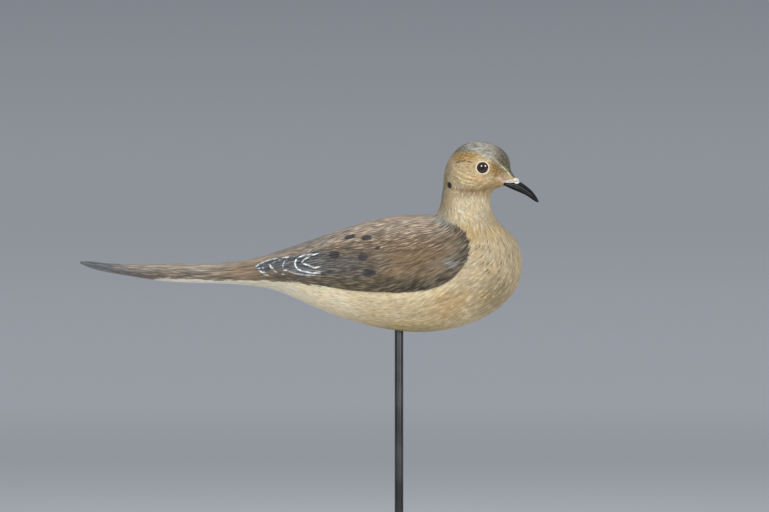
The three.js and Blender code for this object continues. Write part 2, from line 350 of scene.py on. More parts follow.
def make_piece(name, shells, materials, smooth_angle=None):
    """A mesh object of one or more shells. The first one's attributes are 0 on the others."""
    points = np.concatenate([shell.points for shell in shells])
    faces = []
    numbers = []
    start = 0
    for shell in shells:
        faces.extend(tuple(start + k for k in face) for face in shell.faces)
        numbers.extend([shell.material] * len(shell.faces))
        start += len(shell.points)
    mesh = bpy.data.meshes.new(name)
    mesh.from_pydata(points.tolist(), [], faces)
    mesh.polygons.foreach_set("material_index", np.array(numbers, np.int32))
    for key, values in shells[0].attributes.items():
        rows = np.zeros((len(points), values.shape[1]), np.float32)
        rows[: len(values)] = values
        kind, field = ("FLOAT_VECTOR", "vector") if rows.shape[1] == 3 else ("FLOAT", "value")
        layer = mesh.attributes.new(key, kind, "POINT")
        layer.data.foreach_set(field, rows.ravel())
    for material in materials:
        mesh.materials.append(material)
    mesh.shade_smooth()
    if smooth_angle is not None:
        mesh.set_sharp_from_angle(angle=smooth_angle)
    mesh.update()
    piece = bpy.data.objects.new(name, mesh)
    bpy.context.scene.collection.objects.link(piece)
    return piece


def turned_rings(profile, sides):
    """Rings of points about the upright axis, one for each radius and height of a profile."""
    angle = np.arange(sides) * 2 * np.pi / sides
    return np.array([[(r * math.cos(a), r * math.sin(a), h) for a in angle] for r, h in profile])


def srgb(red, green, blue):
    """A display colour from 0 to 255 as the linear colour that a shader takes."""
    def linear(value):
        value = value / 255
        return value / 12.92 if value <= 0.04045 else ((value + 0.055) / 1.055) ** 2.4
    return (linear(red), linear(green), linear(blue), 1)


class Wire:
    """A socket of a material's node tree. Arithmetic on it adds Math nodes."""

    def __init__(self, tree, socket=None):
        self.tree = tree
        self.socket = socket

    def node(self, kind, settings=None, inputs=None, output=0):
        """Any other node, with its settings and the values or links of its sockets."""
        made = self.tree.nodes.new(kind)
        for name, value in (settings or {}).items():
            setattr(made, name, value)
        for name, value in (inputs or {}).items():
            if isinstance(value, Wire):
                self.tree.links.new(value.socket, made.inputs[name])
            else:
                made.inputs[name].default_value = value
        return Wire(self.tree, made.outputs[output])

    def sibling(self, output):
        """Another output of the node that this wire comes from."""
        return Wire(self.tree, self.socket.node.outputs[output])

    def math(self, operation, *others):
        """A Math node that takes this wire first."""
        return self.node("ShaderNodeMath", {"operation": operation}, dict(enumerate((self, *others))))

    def __add__(self, other):
        return self.math("ADD", other)

    __radd__ = __add__

    def __sub__(self, other):
        return self.math("SUBTRACT", other)

    def __rsub__(self, other):
        return self.node("ShaderNodeMath", {"operation": "SUBTRACT"}, {0: other, 1: self})

    def __mul__(self, other):
        return self.math("MULTIPLY", other)

    __rmul__ = __mul__

    def __truediv__(self, other):
        return self.math("DIVIDE", other)

    def __rtruediv__(self, other):
        return self.node("ShaderNodeMath", {"operation": "DIVIDE"}, {0: other, 1: self})

    def most(self, other):
        return self.math("MAXIMUM", other)

    def over(self, low, high):
        """0 below low, 1 above high, and smooth between."""
        settings = {"interpolation_type": "SMOOTHSTEP"}
        return self.node("ShaderNodeMapRange", settings, {0: self, 1: low, 2: high})

    def under(self, low, high):
        return 1 - self.over(low, high)

    def mix(self, ground, cover):
        """The colour cover laid over the colour ground by this share."""
        return self.node("ShaderNodeMix", {"data_type": "RGBA"}, {0: self, 6: ground, 7: cover}, output=2)

    def between(self, low, high):
        """The number this share of the way from low to high."""
        return low + (high - low) * self

    def scaled(self, factor):
        """This colour made lighter or darker by a factor."""
        return self.node("ShaderNodeVectorMath", {"operation": "SCALE"}, {0: self, 3: factor})

    def vector(self, operation, other):
        return self.node("ShaderNodeVectorMath", {"operation": operation}, {0: self, 1: other})

    def radius(self):
        """How far these coordinates are from the upright axis."""
        level = self.vector("MULTIPLY", (1.0, 1.0, 0.0))
        return self.node("ShaderNodeVectorMath", {"operation": "LENGTH"}, {0: level}, output=1)

    def part(self, number):
        return self.node("ShaderNodeSeparateXYZ", None, {0: self}, output=number)

    def attribute(self, name, output="Vector"):
        return self.node("ShaderNodeAttribute", {"attribute_name": name}, None, output)

    def place(self):
        """The piece's own Object coordinates."""
        return self.node("ShaderNodeTexCoord", None, None, "Object")

    def in_units(self, sizes, shift):
        """These coordinates in units of one size for each axis, and shifted."""
        return self.vector("MULTIPLY", tuple(1 / s for s in sizes)).vector("ADD", shift)

    def noise(self, size, seed, detail=2.0):
        """Noise from 0 to 1 with features of this size, a number or one for each axis."""
        sizes = size if isinstance(size, tuple) else (size, size, size)
        moved = self.in_units(sizes, (seed * 17.3, seed * 5.9, seed * 11.1))
        return self.node("ShaderNodeTexNoise", None, {"Vector": moved, "Scale": 1.0, "Detail": detail})

    def cells(self, sizes, seed):
        """Scattered cells: the distance to each cell's middle, and a random number for each."""
        moved = self.in_units(sizes, (seed * 7.7, seed * 3.1, seed * 9.3))
        distance = self.node("ShaderNodeTexVoronoi", None, {"Vector": moved, "Scale": 1.0})
        return distance, distance.sibling("Color").part(0)

    def bump(self, height, strength, distance):
        values = {"Height": height, "Strength": strength, "Distance": distance}
        return self.node("ShaderNodeBump", None, values)


def new_material(name, **uniform):
    """A material with one Principled shader, its uniform values set, and a wire to start its nodes from."""
    material = bpy.data.materials.new(name)
    material.use_nodes = True
    shader = material.node_tree.nodes["Principled BSDF"]
    for key, value in uniform.items():
        shader.inputs[key.replace("_", " ")].default_value = value
    return material, Wire(material.node_tree)


def finish_with(material, **sockets):
    """Links what varies over the surface to the material's shader."""
    tree = material.node_tree
    shader = tree.nodes["Principled BSDF"]
    for key, wire in sockets.items():
        tree.links.new(wire.socket, shader.inputs[key.replace("_", " ")])


# A blot's reach across the bird, where only the side view matters
EVERYWHERE = 1000.0


def soft_spot(view, centre, radii, slope=0.0):
    """1 in the middle of an ellipse in the side view, half at its edge, and 0 twice as far out."""
    inputs = {
        "Vector": view,
        "Location": (centre[0], 0.0, centre[1]),
        "Rotation": (0.0, -math.radians(slope), 0.0),
        "Scale": (2 * radii[0], EVERYWHERE, 2 * radii[1]),
    }
    inside = view.node("ShaderNodeMapping", {"vector_type": "TEXTURE"}, inputs)
    return view.node("ShaderNodeTexGradient", {"gradient_type": "SPHERICAL"}, {"Vector": inside}, output=1)


def far_out(spot):
    """From a soft spot, how far out a place is: 0 in its middle, 1 at its edge, and 2 at most."""
    return spot.math("MULTIPLY_ADD", -2.0, 2.0)


def blot(view, centre, radii, slope=0.0):
    """How far out a place is in an ellipse in the side view."""
    return far_out(soft_spot(view, centre, radii, slope))


def brushed_line(view, line, width):
    """How far out a place is in a chain of thin strokes along a line: under 1 on the line."""
    def stroke(start, end):
        (x0, z0), (x1, z1) = start, end
        middle = ((x0 + x1) / 2, (z0 + z1) / 2)
        reach = math.hypot(x1 - x0, z1 - z0) / 2 + width * 0.6
        slope = math.degrees(math.atan2(z1 - z0, x1 - x0))
        return soft_spot(view, middle, (reach, width / 2), slope)

    return far_out(reduce(Wire.most, map(stroke, line, line[1:])))


# Colours of the paint, some of them laid on as painted highlights and a painted sheen
CREAM = srgb(226, 212, 180)
OLIVE = srgb(112, 96, 68)
UMBER = srgb(62, 54, 45)
SLATE = srgb(58, 60, 64)
LIGHT_SLATE = srgb(96, 99, 103)
SPOT_BLACK = srgb(45, 45, 47)
EAR_BLACK = srgb(16, 15, 16)
CROWN_GREY = srgb(153, 152, 143)
FOREHEAD_BROWN = srgb(62, 58, 40)
NAPE_GREY = srgb(80, 82, 75)
CAP_STREAK = srgb(92, 88, 74)
CAP_MOTTLE = srgb(98, 94, 78)
CAP_LIGHT = srgb(196, 196, 182)
CAP_DARK = srgb(76, 72, 60)
SHEEN_BLUE_GREY = srgb(150, 160, 168)
ROSE_CREAM = srgb(206, 186, 168)
WHITE = srgb(226, 230, 234)
CERE_CREAM = srgb(213, 212, 203)
BACK_GREY = srgb(160, 144, 127)
WING_BROWN = srgb(108, 93, 74)
BREAST_BUFF = srgb(170, 154, 124)
UNDER_WING_CREAM = srgb(214, 200, 168)
NECK_CREAM_AND_HIGHLIGHT = srgb(236, 230, 214)

# Colours of the eyelids, the bill, the glass eyes and the blackened steel
EYELID_CREAM = srgb(222, 215, 193)
EYELID_SHADE = srgb(196, 181, 147)
BILL_BLACK = srgb(8, 9, 12)
BILL_WORN = srgb(22, 23, 28)
IRIS_DARK = srgb(30, 14, 5)
IRIS_BROWN = srgb(56, 28, 10)
PUPIL = srgb(12, 6, 3)
IRIS_EDGE = srgb(10, 8, 8)
STEEL = srgb(49, 50, 53)
STEEL_CLOUD = srgb(67, 68, 71)
STEEL_MARK = srgb(104, 106, 110)

# Broad soft washes in the side view, of paint and some of them painted shade: middle, half length and half
# height
# in grid units, slope in degrees, paint and strength. Over the buff of breast, belly, neck and head:
BUFF_WASHES = [
    ((-10, 20), (125, 40), 0, (192, 175, 141), 1.0),  # belly
    ((-78, 36), (60, 26), -20, (220, 208, 182), 1.0),  # rear of the belly
    ((-200, 52), (110, 26), 0, (228, 228, 220), 1.0),  # under the tail
    ((-118, 43), (36, 13), -20, (228, 230, 220), 0.5),  # root of the tail's underside
    # Painted shade: darker along the lowest belly, where it turns under
    ((0, -6), (112, 20), 0, (149, 132, 78), 0.9),  # lowest belly
    ((48, 28), (42, 26), 20, (168, 138, 94), 0.5),  # warm flank
    # Painted shade: darker low on the breast, where it turns under
    ((94, 36), (34, 22), 45, (140, 124, 94), 0.9),  # low breast
    ((90, 100), (22, 14), 0, (176, 154, 117), 0.8),  # upper breast
    ((68, 98), (18, 18), 0, (177, 150, 103), 0.8),  # warm patch ahead of the wing
    ((72, 124), (30, 26), 0, (186, 171, 140), 1.0),  # neck
    ((43, 132), (14, 42), 0, (143, 129, 104), 1.0),  # nape
    # Dark edge of the nape: grey-brown paint, and painted shade where the nape turns away
    ((42, 141), (5.5, 36), -13, (108, 99, 82), 0.85),  # dark edge of the nape
    ((84, 166), (44, 30), 0, (174, 151, 112), 1.0),  # head
    ((74, 140), (30, 9), 4, (134, 112, 78), 0.75),  # shade under the jaw
    ((66, 154), (14, 9), 0, (171, 148, 104), 0.9),  # cheek
    ((78, 151), (12, 7), -8, (186, 152, 108), 0.5),  # warm cheek under the eye
    ((65, 177), (24, 10), 8, (146, 116, 62), 1.0),  # orange band over the eye
    ((98, 165), (12, 17), 0, (117, 88, 30), 0.95),  # before the eye
    ((47, 163), (8, 26), -10, (134, 120, 96), 0.9),  # back of the head
    ((96, 147), (14, 6), 8, (155, 131, 88), 0.9),  # chin
]
# And over the brown of wing, back and tail:
BROWN_WASHES = [
    ((14, 76), (48, 26), 12, (109, 89, 63), 0.8),  # ochre middle of the wing
    ((-56, 66), (56, 26), 4, (79, 74, 68), 0.95),  # grey rear of the wing
    ((-20, 46), (120, 16), 2, (80, 72, 57), 1.0),  # dark lower edge
    ((-104, 54), (50, 10), -8, (82, 76, 68), 0.9),  # dark edge under the feather tips
    ((52, 60), (22, 14), 45, (80, 72, 62), 0.8),  # dark lower front
    ((64, 84), (14, 28), 0, (91, 82, 66), 0.9),  # dark front edge
    ((-104, 88), (66, 12), 12, (117, 112, 105), 0.8),  # grey rear of the back
    ((40, 112), (17, 8), -24, (128, 129, 122), 0.9),  # grey shoulder
    ((-230, 62), (100, 30), 0, (133, 125, 114), 1.0),  # tail
    ((-157, 60), (32, 13), 0, (131, 110, 89), 0.8),  # rusty root of the tail
    ((-215, 67), (80, 4), 0, (163, 152, 139), 0.8),  # pale upper side
    ((-238, 57), (88, 7), 0, (94, 84, 74), 0.95),  # dark lower edge
    ((-276, 61), (30, 6), -8, (82, 83, 86), 0.8),  # slate along the lower edge
    ((-316, 66), (62, 24), 0, (89, 94, 101), 1.0),  # slate tip
]

# The light feather edges painted at the wing's tip: one line of strokes each, its width and its strength
FEATHER_EDGES = [
    ([(-143.1, 65.3), (-138.8, 68.4), (-134.2, 70.4), (-127, 72.7), (-121.4, 73.9)], 1.3, 0.9),
    ([(-115.8, 74.5), (-105.6, 75.5), (-101.5, 76.8)], 1.4, 0.9),
    ([(-100, 74.8), (-93.9, 77.1), (-87.3, 78.1)], 1.7, 1.0),
    ([(-87, 76.8), (-80.6, 78.6)], 1.5, 0.9),
    ([(-91.3, 79.4), (-86.8, 83)], 1.2, 0.5),
    ([(-126.6, 68.7), (-122.5, 71.2), (-117.9, 72.5)], 1.2, 0.5),
    ([(-111.2, 73.8), (-113.8, 71.2), (-115.8, 67.1), (-115.3, 65.1)], 1.4, 0.55),
    ([(-141.9, 63.6), (-138.8, 63.8)], 1.3, 0.9),
    ([(-139.3, 61.3), (-136.2, 59.7), (-132.7, 59.7)], 1.8, 0.95),
    ([(-136, 64.1), (-135, 64.1)], 1.3, 0.8),
    ([(-128.6, 66.9), (-125.3, 63.3)], 2.7, 1.0),
    ([(-114.8, 62), (-111, 62)], 1.5, 0.8),
    ([(-111, 61.5), (-105.6, 59.2), (-94.4, 57.2), (-82.7, 56.7)], 1.5, 0.7),
    ([(-102.1, 73), (-103.6, 69.7), (-103.1, 66.1), (-101, 63), (-96.4, 61), (-86.2, 59), (-79.1, 59.2)],
     1.8, 1.0),
    ([(-89.8, 75), (-94.9, 72.2), (-96.4, 70.2)], 1.6, 0.9),
    ([(-125, 62), (-121.5, 59.4)], 1.6, 0.5),
    ([(-134, 57.4), (-129.5, 56.6)], 1.6, 0.55),
    ([(-118.5, 58.6), (-113.5, 57.4)], 1.4, 0.45),
    ([(-84, 61.4), (-76, 60.4)], 1.2, 0.4),
    ([(-94.9, 68.1), (-91.3, 67.4), (-87.8, 65.6), (-84.2, 64.3), (-79.1, 65.3)], 1.9, 1.0),
]
# The wing's dark spots: middle, radii and slope
WING_SPOTS = [
    ((-49, 95.2), (6, 2.6), 8), ((-32, 94), (6, 3), 4), ((-21.5, 83.8), (3.6, 2), 14),
    ((-64.5, 77), (6.4, 4.2), 8), ((-36, 75), (5.6, 4.6), 10), ((-30, 59.3), (7.6, 4.6), 4),
]
# Three pale strokes on the cheek: partly cream paint, partly a painted highlight on its swell
CHEEK_STROKES_AND_HIGHLIGHT = [
    [(58, 160.5), (65, 156), (74, 153.5)],
    [(57, 156), (64, 151.5), (74, 149.5)],
    [(60, 151), (67, 147.5), (76, 146.5)],
]
# Lines painted on the head: line, width, raggedness, start and end of its soft edge, paint and strength
HEAD_LINES = [
    (EYE_CREASE, 1.6, 0, (0.4, 1.4), (84, 60, 34), 0.8),
    # Pale cheek strokes, partly a painted highlight
    *((line, 1.8, 2, (0.3, 1.3), (232, 216, 178), 0.62) for line in CHEEK_STROKES_AND_HIGHLIGHT),
    # Painted shade along the jaw crease, under the cheek
    (JAW_CREASE, 5.6, 1.2, (0, 1.3), (116, 86, 50), 0.5),
    (GAPE_FOLD, 2.9, 2, (0.4, 1.4), (216, 172, 158), 0.85),
]
# Pale streaks down the forehead to the cere: partly cream paint, partly a painted highlight along its ridge
FOREHEAD_STREAKS_AND_HIGHLIGHT = [
    ([(102, 166), (107, 161), (112, 155)], 2.1, 0, (0.3, 1.3), (222, 214, 176), 0.65),
    ([(96.5, 171.5), (99.5, 168), (103, 162.5)], 1.4, 0, (0.3, 1.3), (206, 188, 140), 0.4),
]


def laid_over(ground, share, paint):
    """An array of colours with a paint laid over it by a share from 0 to 1."""
    share = share[..., None]
    return ground * (1 - share) + np.array(paint[:3]) * share


def washed(ground, view, washes):
    """An array of colours with soft ellipses of paint laid over it in the side view."""
    for centre, radii, slope, paint, strength in washes:
        turn = math.radians(slope)
        x, z = view[..., 0] - centre[0], view[..., 2] - centre[1]
        along = (x * math.cos(turn) + z * math.sin(turn)) / radii[0]
        across = (z * math.cos(turn) - x * math.sin(turn)) / radii[1]
        share = strength * (1 - smoothstep(np.hypot(along, across), 0.2, 1))
        ground = laid_over(ground, share, srgb(*paint))
    return ground


def grounds(view, angle, brown_depth):
    """The broad colours under the brush strokes, painted shade in the washes included: of the buff parts and
    of the brown parts.
    """
    bare = np.ones(view.shape)
    buff = washed(bare * BREAST_BUFF[:3], view, BUFF_WASHES)
    past_edge = smoothstep(-brown_depth, 0, 2) * (1 - smoothstep(-brown_depth, 3, 11))
    under_wing = past_edge * smoothstep(view[..., 2], 62, 42) * 0.6
    buff = laid_over(buff, under_wing, UNDER_WING_CREAM)
    high = smoothstep(np.cos(angle)[None, :], 0.45, 0.9)
    brown = laid_over(bare * WING_BROWN[:3], high, BACK_GREY)
    return buff, washed(brown, view, BROWN_WASHES)


def cere_paint(view):
    """How much of the cere's cream shows: a thin wedge over the bill that ends in a small bulb."""
    wedge = blot(view, (111.5, 150.6), (8, 1.5), 2).under(0.8, 1.15)
    bulb = blot(view, (117.1, 151), (3.5, 3), -12).under(0.8, 1.1)
    return wedge.most(bulb)


class BirdPaint:
    """The paint on the carving. Every layer of it reads the same brush strokes."""

    def __init__(self, start):
        self.start = start
        self.view = start.attribute("view")
        self.flow = start.attribute("flow")
        self.combed = start.attribute("combed")
        slender = start.attribute("slender", "Fac")
        on_head = start.attribute("head_share", "Fac").over(0.5, 0.95)
        self.brown_depth = start.attribute("brown_depth", "Fac")
        self.x = self.view.part(0)
        self.z = self.view.part(2)

        # Hairs, broader streaks and separate touches, along the feathers and combed over the head
        flow, combed = self.flow, self.combed
        on_buff = slender.between(flow.noise((6, 1.1, 1.1), 1, 1.0), flow.noise((8, 2.6, 2.6), 2, 1.0))
        on_brown = slender.between(flow.noise((8.5, 1.1, 1.1), 1, 1.0), flow.noise((14, 2.5, 2.5), 2, 1.0))
        hairs = self.brown_depth.over(-3, 3).between(on_buff, on_brown)
        self.hairs = on_head.between(hairs, combed.noise((5, 1.1, 1.1), 3, 1.0))
        streaks = slender.between(flow.noise((20, 3.4, 3.4), 4), flow.noise((12, 7, 7), 10))
        self.streaks = on_head.between(streaks, combed.noise((12, 3, 3), 5))
        _, self.touch = flow.cells((8, 1.5, 1.5), 6)
        self.crisp = self.hairs.over(0.36, 0.64)
        self.ragged = self.frayed(7)
        self.light = self.hairs.over(0.57, 0.7)
        self.dark = self.hairs.under(0.3, 0.43)

    def frayed(self, reach):
        """How far the hairs and streaks pull an edge to and fro, in grid units."""
        return (self.hairs - 0.5) * reach + (self.streaks - 0.5) * reach

    def lined(self, colour, lines):
        """The colour with painted lines laid over it."""
        for line, width, raggedness, edge, paint, strength in lines:
            mark = brushed_line(self.view, line, width)
            if raggedness:
                mark = mark + (self.hairs - 0.5) * raggedness
            colour = (mark.under(*edge) * strength).mix(colour, srgb(*paint))
        return colour

    def feather_edges(self):
        """How much of the light feather edges shows, with the gaps that a dry brush leaves."""
        edges = reduce(Wire.most, (
            (brushed_line(self.view, line, width) + (self.hairs - 0.5) * 2).under(0.5, 1.25) * strength
            for line, width, strength in FEATHER_EDGES
        ))
        return edges * (self.view.noise(4, 9).over(0.34, 0.52) * 0.75 + 0.15)

    def wing_spots(self):
        spots = far_out(reduce(Wire.most, (soft_spot(self.view, *spot) for spot in WING_SPOTS)))
        return (spots + self.ragged * 0.04).under(0.72, 1.08)

    def brown(self):
        """Wing, back and tail."""
        x, z, ragged = self.x, self.z, self.ragged
        on_back = (z + ragged).over(74, 102)
        on_tail = (x + ragged).under(-150, -120)
        pale_tail = (x + ragged).under(-205, -170)
        lit = on_back.most(pale_tail) * x.under(25, 58).between(0.12, 0.42) + 0.08
        colour = self.start.attribute("brown_ground", "Color")
        colour = (self.light * lit).mix(colour, ROSE_CREAM)
        colour = (self.dark * 0.5).mix(colour, UMBER)
        rim = (self.brown_depth + ragged * 1.6).under(1, 12) * x.over(-70, 20) * z.under(103, 113)
        colour = (rim * 0.55).mix(colour, UMBER)
        # A painted blue-grey sheen low on the front of the wing
        painted_sheen = blot(self.view, (51, 70), (11, 9), 50).under(0.3, 1.1) * self.crisp
        colour = (painted_sheen * 0.32).mix(colour, SHEEN_BLUE_GREY)
        patch_depth = self.start.attribute("patch_depth", "Fac")
        patch = (patch_depth + ragged * 0.25).over(-0.6, 1) * (x + ragged * 2).under(-93, -54)
        slate = (self.streaks + self.hairs).over(0.9, 1.2).mix(SLATE, LIGHT_SLATE)
        colour = (patch * 0.9).mix(colour, slate)
        colour = self.feather_edges().mix(colour, WHITE)
        colour = (self.wing_spots() * 0.9).mix(colour, SPOT_BLACK)
        worked = (rim * 2.3).most(x.under(-40, 0) - on_tail * 0.6).most(on_back * 0.4)
        return colour.scaled((self.crisp - 0.5) * worked.between(0.16, 0.5) + 1)

    def buff(self):
        """Breast, belly and neck."""
        colour = self.start.attribute("buff_ground", "Color")
        colour = (self.light * 0.32).mix(colour, CREAM)
        colour = (self.dark * 0.24).mix(colour, OLIVE)
        # Whitish streaks on the neck: partly cream paint, partly a painted highlight
        neck_paint_and_highlight = blot(self.view, (72, 124), (21, 17)).under(0.5, 1.1)
        colour = (self.light * neck_paint_and_highlight * 0.7).mix(colour, NECK_CREAM_AND_HIGHLIGHT)
        dash, chance = self.flow.cells((7, 2.4, 2.4), 7)
        dashes = dash.under(0.15, 0.42) * chance.over(0.5, 0.6)
        on_breast = blot(self.view, (90, 76), (33, 40)).under(0.5, 1.1)
        return (dashes * on_breast * 0.75).mix(colour, OLIVE)

    def body(self):
        """The brown laid over the buff, ragged where the wing's front lies on the breast."""
        brown = self.brown()
        buff = self.buff()
        at_front = self.x.over(35, 60) * self.z.over(55, 75)
        fray = at_front.most(self.x.under(-90, -40) * 0.5) + 0.45
        return (self.brown_depth + self.ragged * fray).over(-0.6, 0.6).mix(buff, brown)

    def cap(self, colour):
        """The grey cap laid over the head."""
        fray = self.frayed(6)
        share = (self.start.attribute("cap_depth", "Fac") + fray).over(-2, 3)
        grey = (self.x + fray * 2).over(90, 104).mix(CROWN_GREY, FOREHEAD_BROWN)
        grey = (self.x + fray).under(58, 72).mix(grey, NAPE_GREY)
        grey = (self.streaks.under(0.32, 0.5) * 0.55).mix(grey, CAP_STREAK)
        grey = (self.combed.noise((7, 4, 4), 12).over(0.52, 0.68) * 0.6).mix(grey, CAP_MOTTLE)
        grey = (self.light * 0.45).mix(grey, CAP_LIGHT)
        grey = (self.dark * 0.4).mix(grey, CAP_DARK)
        return (share * 0.9).mix(colour, grey)

    def head(self, colour):
        """The cap, then the lines and marks round the eye and the bill."""
        colour = self.lined(self.cap(colour), HEAD_LINES)
        colour = cere_paint(self.view).mix(colour, CERE_CREAM)
        colour = self.lined(colour, FOREHEAD_STREAKS_AND_HIGHLIGHT)
        ear = (blot(self.view, (50, 146.7), (2.3, 3.5), 14) + (self.hairs - 0.5) * 0.6).under(0.75, 1.15)
        return (ear * 0.95).mix(colour, EAR_BLACK)

    def toned(self, colour):
        """A slow drift between warmer and cooler mixes of the paint, and the tone of every stroke."""
        drift = self.view.noise((16, 10, 10), 8)
        colour = drift.over(0.5, 0.7).mix(colour, colour.vector("MULTIPLY", (1.06, 1.0, 0.92)))
        colour = drift.under(0.3, 0.5).mix(colour, colour.vector("MULTIPLY", (0.96, 1.0, 1.03)))
        calm = self.brown_depth.under(-4, 0) * self.z.under(85, 110) * self.x.over(-150, -110)
        tone = (self.crisp - 0.5) * 0.26 + (self.streaks - 0.5) * 0.5 + (self.touch - 0.5) * 0.26
        return colour.scaled(tone * calm.between(1, 0.65) + 1)


def bird_material():
    material, start = new_material("painted_carving", Specular_IOR_Level=0.3)
    paint = BirdPaint(start)
    colour = paint.toned(paint.head(paint.body()))
    normal = start.bump(paint.hairs + paint.streaks * 0.6, 0.35, 0.2 * MM)
    finish_with(material, Base_Color=colour, Normal=normal, Roughness=0.48 + paint.hairs * 0.16)
    return material


def eyelid_material():
    material, start = new_material("cream_eyelid", Roughness=0.5)
    tone = start.place().noise(1.2 * MM, 1).over(0.4, 0.75)
    colour = tone.mix(EYELID_CREAM, EYELID_SHADE)
    finish_with(material, Base_Color=colour)
    return material


def bill_material():
    gloss = {"Specular_IOR_Level": 0.2, "Coat_Weight": 0.1, "Coat_Roughness": 0.2}
    material, start = new_material("black_bill_paint", **gloss)
    view = start.attribute("view")
    wear = view.noise((7, 1.2, 1.2), 3)
    colour = wear.over(0.4, 0.75).mix(BILL_BLACK, BILL_WORN)
    colour = cere_paint(view).mix(colour, CERE_CREAM)
    finish_with(material, Base_Color=colour, Roughness=0.26 + wear * 0.25)
    return material


def eye_material():
    """Painted pupil and iris under clear glass, which is the shader's coat."""
    glass = {"Specular_IOR_Level": 0.0, "Coat_Weight": 1.0, "Coat_Roughness": 0.02, "Coat_IOR": 1.5}
    material, start = new_material("dark_glass_eye", Roughness=0.4, **glass)
    out = start.attribute("from_middle", "Fac")
    fibres = start.place().noise(0.6 * MM, 2)
    iris = fibres.over(0.3, 0.7).mix(IRIS_DARK, IRIS_BROWN)
    colour = (out + (fibres - 0.5) * 0.06).over(0.46, 0.54).mix(PUPIL, iris)
    colour = out.over(0.8, 0.95).mix(colour, IRIS_EDGE)
    finish_with(material, Base_Color=colour)
    return material


def steel_material(name, rings):
    """Blackened steel. rings is the spacing of the turning marks, or 0 for a drawn rod."""
    material, start = new_material(name, Metallic=0.85, Roughness=0.4)
    place = start.place()
    if rings:
        turns = place.radius() * (2 * math.pi / rings)
        marks = turns.math("SINE") * 0.5 + 0.5
    else:
        marks = place.noise((0.6 * MM, 0.6 * MM, 40 * MM), 5)
    cloud = place.noise(18 * MM, 6)
    colour = cloud.over(0.35, 0.7).mix(STEEL, STEEL_CLOUD)
    colour = (marks * 0.25).mix(colour, STEEL_MARK)
    normal = start.bump(marks, 0.12, 0.1 * MM)
    finish_with(material, Base_Color=colour, Roughness=0.34 + cloud * 0.2, Normal=normal)
    return material


# The eyelid rings: half length and half height of the opening and of the outer edge, the ridge's swell, its
# inner edge's height over the glass, its outer edge's and its root's depth in the skin, and the depth of its
# hidden inner side below the eye's rim plane
LID_INNER = (3.98 * MM, 3.84 * MM)
LID_OUTER = (5.2 * MM, 5 * MM)
LID_SWELL = 0.34 * MM
LID_OVER_GLASS = 0.1 * MM
LID_SUNK = 0.12 * MM
LID_ROOT = 0.8 * MM
LID_DEPTH = 0.9 * MM
LID_SIDES = 112
LID_RIDGE = np.linspace(0, 1, 10)


def eye_axes(side):
    """An eye's centre, the way it looks, and the level and upright directions across it."""
    centre = Vector(placed(np.array([EYE_PLACE[0], side * EYE_PLACE[1], EYE_PLACE[2]], float), 1.0))
    heading = side * (math.pi / 2 - EYE_FORWARD) - HEAD_TURN
    look = Vector((math.cos(heading), math.sin(heading), 0))
    upright = Vector((0, 0, 1))
    return centre, look, upright.cross(look), upright


def dome_height(radius):
    """Height of the eye's dome over its rim plane."""
    sphere = (EYE_RADIUS**2 + EYE_BULGE**2) / (2 * EYE_BULGE)
    return EYE_BULGE - sphere + math.sqrt(sphere**2 - radius**2)


# How far the brush strokes swing up from the body's length, in radians round it at each x in grid units,
# and back on the neck. One radian round the body is this many grid units of their pattern.
STROKE_SWING = [(-20, 0), (10, 0.18), (40, 0.45), (60, 0.57), (75, 0.6)]
NECK_SWING = 0.3
STROKE_GIRTH = 40
# Over the head they are combed in arcs that are lowest at this x, and bent by this much
COMB_MIDDLE = 88
COMB_BEND = 0.012
# Where along x the body's strokes turn into the tail's slender ones
SLENDER_FROM = -90
SLENDER_TO = -180


def bird_shells():
    """The skin of the one carving, and the two eyelid rings raised on it."""
    sections = BODY_SECTIONS + NECK_SECTIONS + HEAD_SECTIONS
    spans = [BODY_SPACING] * NECK_ROOT + [NECK_SPACING] * (len(NECK_SECTIONS) - 1)
    spans += [HEAD_SPACING] * (len(sections) - 1 - len(spans))
    points, at, knots, angle = loft(sections, spans, BIRD_SIDES)
    share = smoothstep(at, knots[NECK_ROOT], knots[NECK_TOP])[:, None]
    view = side_view(points, share)
    relief = hand_relief(points, view) * MM / UNIT
    skin = placed(points + outward(points) * relief[..., None], share)
    faces = ring_faces(len(skin), BIRD_SIDES)
    rows = with_middles(skin)
    tree = BVHTree.FromPolygons(rows.tolist(), faces)
    lids = [eyelid_shell(side, tree) for side in (-1, 1)]
    for side in (-1, 1):
        sink_eye_bed(rows, side)

    steps = np.linalg.norm(np.diff(points, axis=0), axis=2)
    run = np.concatenate([np.zeros((1, BIRD_SIDES)), np.cumsum(steps, axis=0)])
    swing = np.interp(points[..., 0], *zip(*STROKE_SWING)) * (1 - share) - NECK_SWING * share
    lean = angle[None, :] + swing * np.sin(angle)[None, :]
    head_share = smoothstep(at, knots[NECK_TOP - 1], knots[NECK_TOP])[:, None]
    brown_depth = depth_inside(view, BROWN_OUTLINE)
    buff, brown = grounds(view, angle, brown_depth)
    bend = COMB_BEND * (points[..., :1] - COMB_MIDDLE) ** 2
    read_by_paint = {
        "view": view,
        "flow": np.stack([run, STROKE_GIRTH * np.cos(lean), STROKE_GIRTH * np.sin(lean)], axis=2),
        "combed": points - bend * [0, 0, 1],
        "slender": np.maximum(smoothstep(points[..., 0], SLENDER_FROM, SLENDER_TO), share),
        "buff_ground": buff,
        "brown_ground": brown,
        "brown_depth": brown_depth,
        "patch_depth": depth_inside(view, PATCH_OUTLINE),
        "cap_depth": depth_inside(view, CAP_OUTLINE),
        "head_share": np.broadcast_to(head_share, run.shape),
    }
    attributes = {name: with_middles(values) for name, values in read_by_paint.items()}
    return [Shell(rows, faces, 0, **attributes)] + lids


